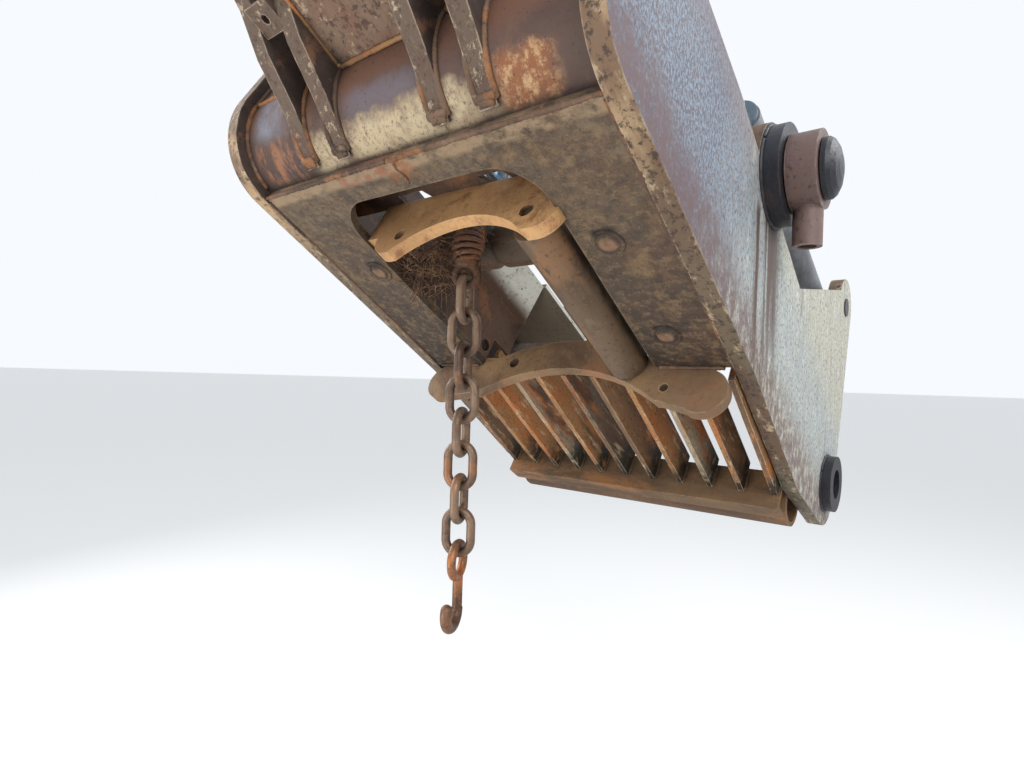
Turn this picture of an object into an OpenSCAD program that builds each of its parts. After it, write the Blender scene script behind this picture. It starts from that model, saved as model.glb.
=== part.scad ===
// Rear arch of a grapple skidder: two leaning side plates joined by a bent cross member,
// with the winch fairlead and its rollers, a bar grille, clevises for the boom, two boom
// cylinders and the chain that hangs on the winch rope.
// Frame: +X is the machine's front, +Y its left, +Z up, origin on the arch pivot's axis.
// The arch is drawn in its own leaning frame: s runs up along the legs, n runs square to
// the legs towards the front, y stays the machine's left. n = 0 is the legs' under edge.

/* [Arch] */
// Width over the two side plates
arch_w = 1000; // [900:5:1150]
// Angle of the legs above the ground
arch_lean = 32.5; // [25:0.5:40]
// Thickness of a side plate
side_t = 40; // [25:1:45]
// End face of the side plates, along the legs
leg_end = 1363; // [1340:1:1400]
// Depth of a leg, from its under edge to its front edge
leg_depth = 385; // [360:1:400]
// Depth of a leg at its upper end
tip_depth = 345; // [320:1:360]
// Radius of the side plate's rounded upper corner
corner_r = 165; // [150:1:180]
// How far the under edge bows out at the foot of the leg
leg_bow = 40; // [20:1:60]

/* [Pivot] */
// Distance of the pivot below the legs' datum
pivot_back = 300; // [260:5:340]
// Height of the pivot over the under edge
pivot_up = 125; // [110:1:140]
// Radius of the side plate round the pivot
pivot_r = 130; // [110:1:145]
// Radius of the pivot's bore
pivot_bore_r = 45; // [35:0.5:50]
// Radius of a pivot collar
pivot_collar_r = 85; // [70:1:100]
// Length of a pivot collar
pivot_collar_len = 30; // [15:1:40]

/* [Cross member] */
// Thickness of the bent plate
cross_t = 25; // [15:1:30]
// Outer radius of its bend
bend_r = 137; // [120:1:150]
// Length of the flat that laps the fairlead plate
cross_lap = 66; // [40:1:80]
// Top of the flat end plate
end_plate_top = 330; // [300:1:340]

/* [Boom clevises] */
// Thickness of a boom ear
ear_t = 40; // [30:1:45]
// Distance of an outer ear's middle from the centre
ear_outer_y = 250; // [235:1:270]
// Distance of an inner ear's middle from the centre
ear_inner_y = 140; // [120:1:150]
// Boom pin's place beyond the end plate
boom_pin_out = 215; // [190:1:240]
// Boom pin's height over the under edge
boom_pin_up = 270; // [250:1:290]
// Radius of an ear round the boom pin
ear_r = 85; // [75:1:95]
// Radius of the boom pin's bore
boom_bore_r = 35; // [25:0.5:45]

/* [Fairlead] */
// Thickness of the fairlead plate
fair_t = 24; // [20:1:35]
// How far its face stands in from the under edge
fair_inset = 4; // [0:1:10]
// Half width of its opening
mouth_half = 273; // [265:1:300]
// Upper edge of its opening
mouth_top = 1130; // [1080:1:1131]
// Radius of the opening's corners
mouth_r = 100; // [60:1:110]
// Thickness of the two guide plates
guide_t = 30; // [20:1:35]
// Upper face of the upper guide plate
guide_high = 1020; // [990:1:1040]
// Upper face of the lower guide plate
guide_low = 510; // [495:1:525]
// Radius of a side roller
side_roller_r = 48; // [38:1:54]
// How far a side roller's bores stand inside the mouth's side edge
side_roller_in = 92; // [83:1:103]
// How far the guide plates' middle stands to the right of the arch's
guide_shift = 23; // [0:1:30]
// Place of a side roller's axis over the under edge
side_roller_n = 12; // [5:1:20]
// Radius of the rollers' pins
roller_pin_r = 16; // [12:0.5:20]
// Radius of the top roller
top_roller_r = 66; // [55:1:70]
// Place of the top roller along the legs
top_roller_s = 780; // [770:1:850]
// Place of the top roller over the under edge
top_roller_n = 208; // [145:1:215]
// Depth of the groove that the rope wore into the top roller
groove_d = 12; // [6:1:20]
// Thickness of a housing wall
wall_t = 16; // [10:1:20]
// Depth of a housing wall beside the top roller
wall_depth = 268; // [240:1:300]
// Place of the fold in a housing wall, over the under edge
fold_n = 210; // [190:1:220]
// Lower end of a housing wall's fold
fold_low = 430; // [420:1:460]
// Upper end of a housing wall's fold
fold_high = 690; // [660:1:700]
// Upper end of a housing wall
wall_top = 940; // [900:1:980]

/* [Grille] */
// Number of bars
bar_count = 11; // [8:1:12]
// Thickness of a bar
bar_t = 15; // [12:1:26]
// Depth of a bar
bar_d = 90; // [60:1:100]
// Drop of the bars' foot below the under edge
grille_drop = 66; // [40:1:75]
// Thickness of the angle iron that the bars stand on
angle_t = 14; // [8:1:18]
// Leg of the angle iron along the arch's legs
angle_leg = 60; // [45:1:65]
// Width of the angle iron under the bars
angle_w = 110; // [90:1:115]
// Drop of the angle iron below the under edge
angle_drop = 105; // [90:1:110]
// Radius of the torsion tube
tube_r = 70; // [55:1:75]
// Place of the torsion tube along the legs
tube_s = -130; // [-150:1:-120]
// Place of the torsion tube over the under edge
tube_n = -23; // [-30:1:60]

/* [Lift cylinder seats] */
// Place of the lift pin along the legs
lift_s = 651; // [620:1:680]
// Place of the lift pin over the under edge
lift_n = 431; // [415:1:445]
// Radius of the plate's bulge and its collar
lift_boss_r = 120; // [105:1:130]
// Length of the collar on the plate
lift_collar_len = 38; // [25:1:50]
// Radius of the lift pin
lift_pin_r = 45; // [35:0.5:50]
// Radius of the cylinder's rod eye
lift_eye_r = 85; // [75:1:95]
// Width of the cylinder's rod eye
lift_eye_w = 62; // [50:1:70]

/* [Boom cylinders] */
// Place of the base pin along the legs
heel_s = -180; // [-210:1:-160]
// Place of the base pin over the under edge
heel_n = 725; // [705:1:745]
// Radius of the side plate round the base pin
heel_r = 95; // [80:1:105]
// Radius of the base pin
base_pin_r = 30; // [22:0.5:35]
// Distance of the cylinder's axis from the side plate's inner face
cyl_off = 70; // [65:1:80]
// Outer radius of the barrel
barrel_r = 57; // [50:0.5:60]
// Wall of the barrel
barrel_wall = 11; // [7:0.5:14]
// Length of the barrel from its base pin to its mouth
barrel_len = 890; // [850:5:920]
// Radius of the rod
rod_r = 32; // [25:0.5:36]
// Length from the base pin to the rod's eye at rest
cyl_len = 1520; // [1480:5:1540]
// Radius of a cylinder's eye
eye_r = 62; // [55:1:68]
// Width of a cylinder's eye
eye_w = 60; // [45:1:64]
// Angle at which the cylinder closes on the legs at rest
cyl_close = 7.8; // [7:0.1:8.5]

/* [Rope and chain] */
// Distance of the hanging chain from the centre
chain_y = 115; // [100:1:118]
// Radius of the winch rope
rope_r = 12.5; // [10:0.5:14]
// Radius of the bend that the stiff rope makes as it drops from the top roller
drop_r = 132; // [100:1:140]
// Diameter of the chain's wire
link_d = 22; // [18:0.5:24]
// Inner length of a link
link_pitch = 82; // [74:1:86]
// Outer width of a link
link_w = 87; // [80:1:92]
// Number of links
link_count = 8; // [8:1:8]
// Height of the chain's first crown over the pivot
chain_top = 549; // [540:1:555]
// Turn of the first link about the vertical
chain_turn = 22.6; // [0:0.1:45]

/* [Clearances] */
// Gap between pieces that move on one another
run_gap = 0.3; // [0.2:0.05:0.5]
// Radial clearance of a pin in its bore
pin_gap = 0.05; // [0.03:0.01:0.08]
// Gap at the end of a roller or an eye
end_gap = 3; // [1:0.5:5]

/* [Hidden] */
link_names = [for (k = [0:link_count - 1]) str("chain_link_", k + 1)];
$fn = 64;

pivot_s = -pivot_back;
pivot_n = pivot_up;
inner_y = arch_w / 2 - side_t;
cross_inset = fair_inset + fair_t;
bend_s = leg_end - cross_inset - bend_r;
bend_n = cross_inset + bend_r;
end_face = leg_end - cross_inset;
fair_top = bend_s + 2;
boom_pin_s = end_face + boom_pin_out;
side_roller_out = mouth_half - side_roller_in;
right_roller_y = -side_roller_out - guide_shift;
over_pin_r = 1.5 * roller_pin_r;

// Places children drawn in the arch's frame (x = s, y = n, z = left) in the part's frame
module in_arch() {
    rotate([0, arch_lean, 0]) rotate([90, 0, 180]) translate([-pivot_s, -pivot_n, 0])
        children();
}
// Extrudes an (s, n) outline from y0 to y1
module across(y0, y1) {
    translate([0, 0, min(y0, y1)]) linear_extrude(abs(y1 - y0)) children();
}
// Extrudes an (s, y) outline from n0 to n1
module through_n(n0, n1) {
    translate([0, n1, 0]) rotate([90, 0, 0]) linear_extrude(n1 - n0) children();
}
// Extrudes an (n, y) outline from s0 to s1
module through_s(s0, s1) {
    translate([s0, 0, 0]) rotate([90, 0, 90]) linear_extrude(s1 - s0) children();
}
// Round bar along y between y0 and y1, at (s, n)
module bar_y(s, n, r, y0, y1) {
    translate([s, n, min(y0, y1)]) cylinder(r = r, h = abs(y1 - y0));
}
// Round bar along s between s0 and s1, at (n, y)
module bar_s(n, y, r, s0, s1) {
    translate([s0, n, y]) rotate([0, 90, 0]) cylinder(r = r, h = s1 - s0);
}
module box2(x0, x1, y0, y1) {
    translate([x0, y0]) square([x1 - x0, y1 - y0]);
}
// Outline of a side plate
module side_outline() {
    knee_s = 480;
    tip_r = 45;
    rise = atan2(heel_n - pivot_n, heel_s - pivot_s);
    back = rise + acos((pivot_r - heel_r) / norm([heel_s - pivot_s, heel_n - pivot_n]));
    tangent = 0.994 * [cos(back), sin(back)];
    polygon([
        [pivot_s, pivot_n - pivot_r], [0, -leg_bow], [knee_s, 0],
        [leg_end - corner_r, 0], [leg_end - corner_r, corner_r], [leg_end, corner_r],
        [leg_end, tip_depth - tip_r], [leg_end - tip_r, tip_depth],
        [leg_end - 456, leg_depth], [319, leg_depth],
        [heel_s + heel_r - 4, heel_n], [heel_s, heel_n] + heel_r * tangent,
        [pivot_s, pivot_n] + pivot_r * tangent]);
    translate([leg_end - corner_r, corner_r]) circle(r = corner_r);
    translate([leg_end - tip_r, tip_depth - tip_r]) circle(r = tip_r);
    translate([lift_s, lift_n]) circle(r = lift_boss_r);
    translate([pivot_s, pivot_n]) circle(r = pivot_r);
    translate([heel_s, heel_n]) circle(r = heel_r);
}
module side_plate(side) {
    color("#9c99a6") in_arch() across(side * inner_y, side * arch_w / 2) difference() {
        side_outline();
        translate([pivot_s, pivot_n]) circle(r = pivot_bore_r);
        translate([heel_s, heel_n]) circle(r = base_pin_r + pin_gap);
        translate([lift_s, lift_n]) circle(r = lift_pin_r + pin_gap);
    }
}
module pivot_collars() {
    color("#6d625a") in_arch() for (side = [-1, 1]) {
        for (face = [[inner_y - pivot_collar_len, inner_y],
                     [arch_w / 2, arch_w / 2 + pivot_collar_len]])
            across(side * face[0], side * face[1]) translate([pivot_s, pivot_n])
                difference() {
                    circle(r = pivot_collar_r);
                    circle(r = pivot_bore_r);
                }
    }
}

// Outer shape of the bent cross member and the end plate, filled
module cross_filled() {
    translate([bend_s, bend_n]) circle(r = bend_r);
    box2(bend_s - cross_lap, bend_s, cross_inset, bend_n);
    box2(bend_s - cross_lap, end_face, bend_n, end_plate_top);
}
module cross_member() {
    color("#6b4438") in_arch() across(-inner_y, inner_y) {
        box2(bend_s - cross_lap, bend_s, cross_inset, cross_inset + cross_t);
        intersection() {
            translate([bend_s, bend_n]) difference() {
                circle(r = bend_r);
                circle(r = bend_r - cross_t);
            }
            box2(bend_s, end_face, cross_inset, bend_n);
        }
    }
}
module end_plate() {
    color("#7a4a38") in_arch() across(-inner_y, inner_y)
        box2(end_face - cross_t, end_face, bend_n, end_plate_top);
}

// Boom ears, two to a clevis, seated on the cross member's outer face
module ear_outline() {
    difference() {
        union() {
            polygon([[bend_s + 25, cross_inset - 6], [end_face - 5, 76], [end_face + 90, 115],
                     [end_face + 165, 162], [boom_pin_s + 40, boom_pin_up - 75],
                     [boom_pin_s, boom_pin_up], [boom_pin_s, boom_pin_up + ear_r],
                     [end_face - 1, end_plate_top], [bend_s, bend_n]]);
            translate([boom_pin_s, boom_pin_up]) circle(r = ear_r);
        }
        cross_filled();
        translate([boom_pin_s, boom_pin_up]) circle(r = boom_bore_r);
    }
}
module boom_ears(side) {
    color("#5f4336") in_arch() for (y = [ear_inner_y, ear_outer_y])
        across(side * (y - ear_t / 2), side * (y + ear_t / 2)) ear_outline();
}
module ear_strap() {
    strap_s = end_face + 105;
    strap_t = 14;
    color("#5f4336") in_arch()
        through_n(138, 138 + strap_t) difference() {
            box2(strap_s, strap_s + 60, ear_inner_y + ear_t / 2, ear_outer_y - ear_t / 2);
            translate([strap_s + 30, (ear_inner_y + ear_outer_y) / 2]) circle(r = 9);
        }
}

// Fairlead plate with its opening
module mouth_outline() {
    box2(guide_low - 1, mouth_top - mouth_r, -mouth_half, mouth_half);
    box2(guide_low - 1, mouth_top, -mouth_half + mouth_r, mouth_half - mouth_r);
    for (y = [-1, 1])
        translate([mouth_top - mouth_r, y * (mouth_half - mouth_r)]) circle(r = mouth_r);
}
module fairlead_plate() {
    color("#5a4536") in_arch() through_n(fair_inset, cross_inset)
        difference() {
            box2(guide_low, fair_top, -inner_y, inner_y);
            mouth_outline();
        }
}
// Walls of the winch housing: flat beside the opening, folded inwards low down
module housing_walls() {
    wall_back = cross_inset + wall_depth;
    foot_n = 97;
    hole_r = 18;
    color("#63402f") in_arch() for (side = [-1, 1])
        across(side * mouth_half, side * (mouth_half + wall_t)) difference() {
            polygon([[guide_low, cross_inset], [wall_top, cross_inset],
                     [wall_top, wall_back - 60], [wall_top - 60, wall_back],
                     [fold_high, wall_back], [fold_high, fold_n], [fold_low, fold_n],
                     [fold_low, foot_n], [guide_low, foot_n]]);
            translate([top_roller_s, top_roller_n]) circle(r = over_pin_r + pin_gap);
            translate([guide_low + hole_r + 6, cross_inset + hole_r + 12]) circle(r = hole_r);
        }
}
// Folded edges of the housing walls and the panels below them
module housing_flanges() {
    flange_w = 90;
    low_s = 217;
    slant_s = 501;
    back = fold_n + flange_w;
    edge_y = mouth_half - flange_w;
    skew = wall_t * tan(22.5);
    lip = wall_t * cos(45);
    color("#8f8c8e") in_arch() for (side = [-1, 1]) {
        intersection() {
            through_s(fold_low, fold_high) polygon([
                [fold_n, side * mouth_half], [back, side * edge_y],
                [back + lip, side * (edge_y + lip)],
                [fold_n + skew, side * (mouth_half + wall_t)],
                [fold_n, side * (mouth_half + wall_t)]]);
            across(side * (edge_y - 1), side * (mouth_half + wall_t + 1)) polygon([
                [fold_low, fold_n - 1], [fold_high, fold_n - 1], [fold_high, back + lip + 1],
                [slant_s, back + lip + 1], [slant_s, back], [fold_low, fold_n + skew]]);
        }
        across(side * (edge_y - 8), side * inner_y)
            box2(low_s, slant_s, back, back + wall_t - 4);
    }
}
// Guide plates: the upper one is a waisted band with a lobe over each side roller
module guide_upper_outline() {
    lobe_r = 52;
    lobe_out = 207;
    waist_n = 31;
    waist_r = 290;
    far_n = 125;
    lobe_low = side_roller_n - lobe_r;
    difference() {
        union() {
            for (y = [-1, 1])
                translate([side_roller_n, y * lobe_out - guide_shift]) circle(r = lobe_r);
            box2(lobe_low + 0.3, far_n, -lobe_out - guide_shift, lobe_out - guide_shift);
            box2(side_roller_n, far_n, -mouth_half, mouth_half);
        }
        translate([waist_n - waist_r, -guide_shift]) circle(r = waist_r);
        for (y = [-1, 1]) {
            translate([side_roller_n, y * side_roller_out - guide_shift])
                circle(r = roller_pin_r + pin_gap);
            translate([fair_inset, y > 0 ? mouth_half : -2 * mouth_half])
                square([2 * lobe_r, mouth_half]);
        }
    }
}
module guide_plate_upper() {
    color("#9a7048") in_arch() through_s(guide_high - guide_t, guide_high)
        guide_upper_outline();
}
// The lower guide plate reaches from leg to leg and bulges into the housing
module guide_lower_outline() {
    lobe_r = 57;
    lobe_n = -58;
    lobe_y = inner_y - lobe_r - 1;
    lobe_low = lobe_n - lobe_r + 1.5;
    waist_n = -4;
    waist_r = 480;
    shoulder_n = -90;
    shoulder_out = 285;
    bulge_n = 86;
    bulge_r = 518;
    lash_n = -54;
    lash_y = 311;
    difference() {
        union() {
            for (y = [-1, 1]) translate([lobe_n, y * lobe_y]) circle(r = lobe_r);
            polygon([[lobe_low, -lobe_y - 2], [cross_inset, -lobe_y - 9],
                     [cross_inset, lobe_y + 9], [lobe_low, lobe_y + 2],
                     [shoulder_n, shoulder_out - guide_shift],
                     [shoulder_n, -shoulder_out - guide_shift]]);
            intersection() {
                translate([bulge_n - bulge_r, -guide_shift]) circle(r = bulge_r);
                box2(lobe_n, bulge_n + 9, -mouth_half - 4, mouth_half + 4);
            }
        }
        translate([waist_n - waist_r, -guide_shift]) circle(r = waist_r);
        for (y = [-1, 1]) {
            translate([side_roller_n, y * side_roller_out - guide_shift])
                circle(r = roller_pin_r + pin_gap);
            translate([lash_n, y * lash_y]) circle(r = 11);
        }
    }
}
module guide_plate_lower() {
    color("#6a4334") in_arch() through_s(guide_low - guide_t, guide_low)
        guide_lower_outline();
}

// Rollers and their pins; the left side roller and its pin are missing
module side_roller_pin() {
    color("#4a3a32") in_arch() bar_s(side_roller_n, right_roller_y, roller_pin_r,
        guide_low - guide_t + 4, guide_high - 8);
}
module side_roller_right() {
    color("#5c4030") in_arch() difference() {
        bar_s(side_roller_n, right_roller_y, side_roller_r,
              guide_low + end_gap, guide_high - guide_t - end_gap);
        bar_s(side_roller_n, right_roller_y, roller_pin_r + pin_gap, guide_low, guide_high);
    }
}
module top_roller_pin() {
    color("#4a3a32") in_arch() bar_y(top_roller_s, top_roller_n, over_pin_r,
        -mouth_half - wall_t, mouth_half + wall_t);
}
module top_roller() {
    groove_r = 30;
    half = mouth_half - end_gap;
    color("#5c4a3a") in_arch() translate([top_roller_s, top_roller_n, 0]) difference() {
        translate([0, 0, -half]) cylinder(r = top_roller_r, h = 2 * half);
        translate([0, 0, -half - 1]) cylinder(r = over_pin_r + pin_gap, h = 2 * half + 2);
        translate([0, 0, chain_y]) rotate_extrude()
            translate([top_roller_r - groove_d + groove_r, 0]) circle(r = groove_r);
    }
}

// Grille: bars on edge between the lower guide plate and an angle iron
module grille_bars() {
    side_gap = 5;
    top_n = -10;
    pitch = (2 * (inner_y - side_gap) - bar_t) / (bar_count - 1);
    top_s = guide_low - guide_t;
    color("#8a5a34") in_arch() for (k = [0:bar_count - 1]) {
        y = -inner_y + side_gap + bar_t / 2 + k * pitch;
        across(y - bar_t / 2, y + bar_t / 2) polygon([
            [0, -grille_drop], [top_s, top_n], [top_s, top_n + bar_d],
            [0, bar_d - grille_drop]]);
    }
}
module grille_crossbar() {
    color("#5a4030") in_arch() across(-inner_y, inner_y) {
        box2(-angle_t, 0, -angle_drop, angle_w - angle_drop);
        box2(-angle_leg, -angle_t + 1, -angle_drop, angle_t - angle_drop);
    }
}
module torsion_tube() {
    color("#8a6a44") in_arch() difference() {
        bar_y(tube_s, tube_n, tube_r, -inner_y, inner_y);
        bar_y(tube_s, tube_n, tube_r - 12, -inner_y - 1, inner_y + 1);
    }
}

// Seats of the lift cylinders: collar, pin with a domed head, and the rod eye on it
module lift_collars() {
    color("#4d3b3c") in_arch() for (side = [-1, 1])
        across(side * arch_w / 2, side * (arch_w / 2 + lift_collar_len))
            translate([lift_s, lift_n]) difference() {
                circle(r = lift_boss_r - 8);
                circle(r = lift_pin_r + pin_gap);
            }
}
lift_eye_y = arch_w / 2 + lift_collar_len + end_gap;
module lift_pin(side) {
    head_y = lift_eye_y + lift_eye_w + end_gap;
    color("#4d3b3c") in_arch() {
        bar_y(lift_s, lift_n, lift_pin_r, side * (inner_y + 2), side * head_y);
        translate([lift_s, lift_n, side * head_y]) rotate([side > 0 ? 0 : 180, 0, 0])
            rotate_extrude() polygon([[0, 0], [66, 0], [66, 10], [60, 18], [45, 26],
                [25, 31], [0, 33]]);
    }
}
// Rod eye that hangs on the lift pin, its socket for the rod pointing down
module lift_eye(side) {
    socket_len = 165;
    mid_y = side * (lift_eye_y + lift_eye_w / 2);
    at = arch_point(lift_s, lift_n);
    color("#5d4a46") translate([at[0], mid_y, at[1]]) difference() {
        union() {
            rotate([90, 0, 0]) cylinder(r = lift_eye_r, h = lift_eye_w, center = true);
            translate([0, 0, -socket_len]) cylinder(r = lift_eye_w / 2, h = socket_len);
        }
        rotate([90, 0, 0]) cylinder(r = lift_pin_r + pin_gap, h = lift_eye_w + 2, center = true);
        translate([0, 0, -socket_len - 1]) cylinder(r = 20, h = 61);
    }
}
// A point of the arch's frame, as (x, z) in the part's frame
function arch_point(s, n) = [
    -(s - pivot_s) * cos(arch_lean) + (n - pivot_n) * sin(arch_lean),
    (s - pivot_s) * sin(arch_lean) + (n - pivot_n) * cos(arch_lean)];

// Boom cylinders on their heel brackets
cyl_y = inner_y - cyl_off;
lug_y0 = cyl_y - eye_w / 2 - end_gap;
lug_t = 25;
lug_r = heel_r - 20;
module heel_bracket(side) {
    web_n = heel_n - 110;
    color("#7f7a80") in_arch() {
        across(side * (lug_y0 - lug_t), side * lug_y0) difference() {
            union() {
                translate([heel_s, heel_n]) circle(r = lug_r);
                box2(heel_s - lug_r, heel_s + lug_r, web_n, heel_n);
            }
            translate([heel_s, heel_n]) circle(r = base_pin_r + pin_gap);
        }
        through_n(web_n - 20, web_n)
            box2(heel_s - lug_r, heel_s + lug_r,
                 min(side * (lug_y0 - lug_t), side * inner_y),
                 max(side * (lug_y0 - lug_t), side * inner_y));
    }
}
module base_pin(side) {
    color("#4f4a4a") in_arch() {
        bar_y(heel_s, heel_n, base_pin_r, side * (lug_y0 - lug_t - 6), side * (arch_w / 2 + 4));
        bar_y(heel_s, heel_n, base_pin_r + 16, side * (cyl_y + eye_w / 2 + end_gap),
              side * inner_y);
    }
}
// Places children along the cylinder's axis: local z runs from the base pin to the eye
module on_cylinder(side) {
    in_arch() translate([heel_s, heel_n, side * cyl_y]) rotate([0, 0, -cyl_close])
        rotate([0, 90, 0]) children();
}
bore_r = barrel_r - barrel_wall;
gland_len = 62;
neck_len = lug_r + 25;
cap_len = 30;
module boom_base(side) {
    neck_h = 84;
    color("#8f9296") on_cylinder(side) difference() {
        union() {
            rotate([0, 90, 0]) cylinder(r = eye_r, h = eye_w, center = true);
            translate([-eye_w / 2, -neck_h / 2, 0]) cube([eye_w, neck_h, neck_len + 5]);
            translate([0, 0, neck_len]) cylinder(r = barrel_r, h = cap_len);
        }
        rotate([0, 90, 0]) cylinder(r = base_pin_r + pin_gap, h = 4 * eye_w, center = true);
    }
}
module boom_barrel(side) {
    tube_z = neck_len + cap_len;
    color("#8f9296") on_cylinder(side) translate([0, 0, tube_z]) difference() {
        cylinder(r = barrel_r, h = barrel_len - tube_z);
        translate([0, 0, -1]) cylinder(r = bore_r, h = barrel_len);
    }
}
module boom_gland(side) {
    color("#5f6f7c") on_cylinder(side) translate([0, 0, barrel_len - gland_len + 12])
        difference() {
            union() {
                cylinder(r = bore_r - pin_gap, h = gland_len);
                translate([0, 0, gland_len - 12]) cylinder(r = barrel_r - 4, h = 12);
            }
            translate([0, 0, -1]) cylinder(r = rod_r + pin_gap, h = gland_len + 2);
        }
}
module boom_rod(side) {
    piston_len = 40;
    piston_z = barrel_len - gland_len - 20 - piston_len;
    rod_stop = 45;
    color("#b8d4ea") on_cylinder(side) difference() {
        union() {
            translate([0, 0, piston_z]) cylinder(r = bore_r - run_gap, h = piston_len);
            translate([0, 0, piston_z]) cylinder(r = rod_r, h = cyl_len - rod_stop - piston_z);
            translate([0, 0, cyl_len]) rotate([0, 90, 0])
                cylinder(r = eye_r, h = eye_w, center = true);
        }
        translate([0, 0, cyl_len]) rotate([0, 90, 0])
            cylinder(r = base_pin_r + pin_gap, h = 4 * eye_w, center = true);
    }
}

// Winch rope over the top roller, its knot and eye, and the chain
roller_at = arch_point(top_roller_s, top_roller_n);
rope_off = top_roller_r - groove_d + run_gap + rope_r;
chain_x = roller_at[0] - drop_r;
drop_z = roller_at[1] + rope_off - drop_r;
rope_eye_r = 9;
rope_eye_arm = 27;
rope_eye_z = chain_top - link_d - run_gap + rope_eye_arm - rope_eye_r;
module winch_rope() {
    lead_len = 230;
    lead_dip = 12;
    color("#4a3f3a") translate([roller_at[0], chain_y, roller_at[1]]) {
        rotate([90, 0, 0]) rotate([0, 0, 90 - lead_dip]) rotate_extrude(angle = lead_dip)
            translate([rope_off, 0]) circle(r = rope_r);
        rotate([0, 90 + lead_dip, 0]) translate([-rope_off, 0, 0])
            cylinder(r = rope_r, h = lead_len);
    }
}
module rope_drop() {
    color("#4a3f3a") translate([roller_at[0], chain_y, drop_z]) rotate([90, 0, 0])
        rotate([0, 0, 90]) rotate_extrude(angle = 90) translate([drop_r, 0]) circle(r = rope_r);
}
// Wraps of frayed rope over an eye that holds the first link's crown
module rope_knot() {
    wraps = 2;
    wrap_r = 8.5;
    wrap_arm = 19;
    low_z = rope_eye_z + rope_eye_arm;
    step = (drop_z - wrap_r - low_z) / (wraps - 1);
    color("#5a4438") translate([chain_x, chain_y, 0]) {
        for (k = [0:wraps - 1]) translate([0, 0, low_z - 1 + k * step])
            rotate_extrude() translate([wrap_arm, 0]) circle(r = wrap_r);
        translate([0, 0, low_z]) cylinder(r = rope_r, h = drop_z - low_z);
        translate([0, 0, rope_eye_z]) rotate([90, 0, chain_turn + 90]) rotate_extrude()
            translate([rope_eye_arm, 0]) circle(r = rope_eye_r);
    }
}
// A chain link in the XZ plane with its middle at the origin
module link_body() {
    arm = (link_w - link_d) / 2;
    straight = link_pitch + link_d - 2 * arm;
    for (e = [0, 180]) rotate([0, e, 0]) {
        translate([0, 0, straight / 2]) rotate([90, 0, 0]) rotate_extrude(angle = 180)
            translate([arm, 0]) circle(d = link_d);
        translate([arm, 0, -straight / 2]) cylinder(d = link_d, h = straight);
    }
}
function link_z(k) = chain_top - link_pitch / 2 - link_d - k * (link_pitch - run_gap);
module chain_link(k) {
    color("#6e5648") translate([chain_x, chain_y, link_z(k)])
        rotate([0, 0, chain_turn + 90 * k]) link_body();
}
// Hook with a round eye, drawn in the XZ plane with its eye's middle at the origin
module hook_body() {
    neck_x = 6;
    bowl_arm = 36;
    bowl_r = 14;
    bowl_z = -118;
    turn = 205;
    rotate([90, 0, 0]) rotate_extrude() translate([hook_eye_arm, 0]) circle(d = link_d);
    translate([neck_x, 0, bowl_z - 5]) cylinder(r = bowl_r - 1.5, h = -bowl_z - hook_eye_arm + 9);
    translate([neck_x - bowl_arm, 0, bowl_z]) rotate([90, 0, 0]) rotate([0, 0, -turn]) {
        rotate_extrude(angle = turn) translate([bowl_arm, 0]) circle(r = bowl_r);
        translate([bowl_arm, 0, 0]) rotate([90, 0, 0]) rotate_extrude() intersection() {
            circle(r = bowl_r);
            square(bowl_r);
        }
    }
}
hook_eye_arm = 40;
hook_z = link_z(link_count - 1) - link_pitch / 2 + run_gap + link_d / 2 - hook_eye_arm;
module chain_hook() {
    color("#8a5a38") translate([chain_x, chain_y, hook_z]) rotate([0, 0, chain_turn])
        hook_body();
}

side_plate(-1);  // side_plate_right
side_plate(1);  // side_plate_left
pivot_collars();
cross_member();
end_plate();
boom_ears(-1);  // boom_ears_right
boom_ears(1);  // boom_ears_left
ear_strap();
fairlead_plate();
housing_walls();
housing_flanges();
guide_plate_upper();
guide_plate_lower();
side_roller_pin();
top_roller_pin();
side_roller_right();
top_roller();
grille_bars();
grille_crossbar();
torsion_tube();
lift_collars();
lift_pin(-1);  // lift_pin_right
lift_pin(1);  // lift_pin_left
lift_eye(-1);  // lift_eye_right
lift_eye(1);  // lift_eye_left
heel_bracket(-1);  // heel_bracket_right
heel_bracket(1);  // heel_bracket_left
base_pin(-1);  // base_pin_right
base_pin(1);  // base_pin_left
boom_base(-1);  // boom_base_right
boom_base(1);  // boom_base_left
boom_barrel(-1);  // boom_barrel_right
boom_barrel(1);  // boom_barrel_left
boom_gland(-1);  // boom_gland_right
boom_gland(1);  // boom_gland_left
boom_rod(-1);  // boom_rod_right
boom_rod(1);  // boom_rod_left
winch_rope();
rope_drop();
rope_knot();
for (k = [0:link_count - 1])
    chain_link(k);
chain_hook();
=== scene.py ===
import math
import random

import bmesh
import bpy
from mathutils import Matrix, Vector, noise


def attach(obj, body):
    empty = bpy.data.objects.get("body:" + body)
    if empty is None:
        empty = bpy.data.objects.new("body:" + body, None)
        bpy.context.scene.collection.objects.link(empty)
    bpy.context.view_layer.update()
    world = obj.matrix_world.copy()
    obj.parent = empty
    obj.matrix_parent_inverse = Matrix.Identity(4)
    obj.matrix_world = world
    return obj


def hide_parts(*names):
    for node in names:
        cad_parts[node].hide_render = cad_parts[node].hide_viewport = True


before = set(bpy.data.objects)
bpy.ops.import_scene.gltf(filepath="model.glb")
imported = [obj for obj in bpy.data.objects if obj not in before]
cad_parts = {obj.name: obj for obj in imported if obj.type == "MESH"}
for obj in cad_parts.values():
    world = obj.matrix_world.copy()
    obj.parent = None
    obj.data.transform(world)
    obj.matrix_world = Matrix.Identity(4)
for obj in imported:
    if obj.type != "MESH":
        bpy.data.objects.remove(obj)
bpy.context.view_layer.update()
random.seed(17)

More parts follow.
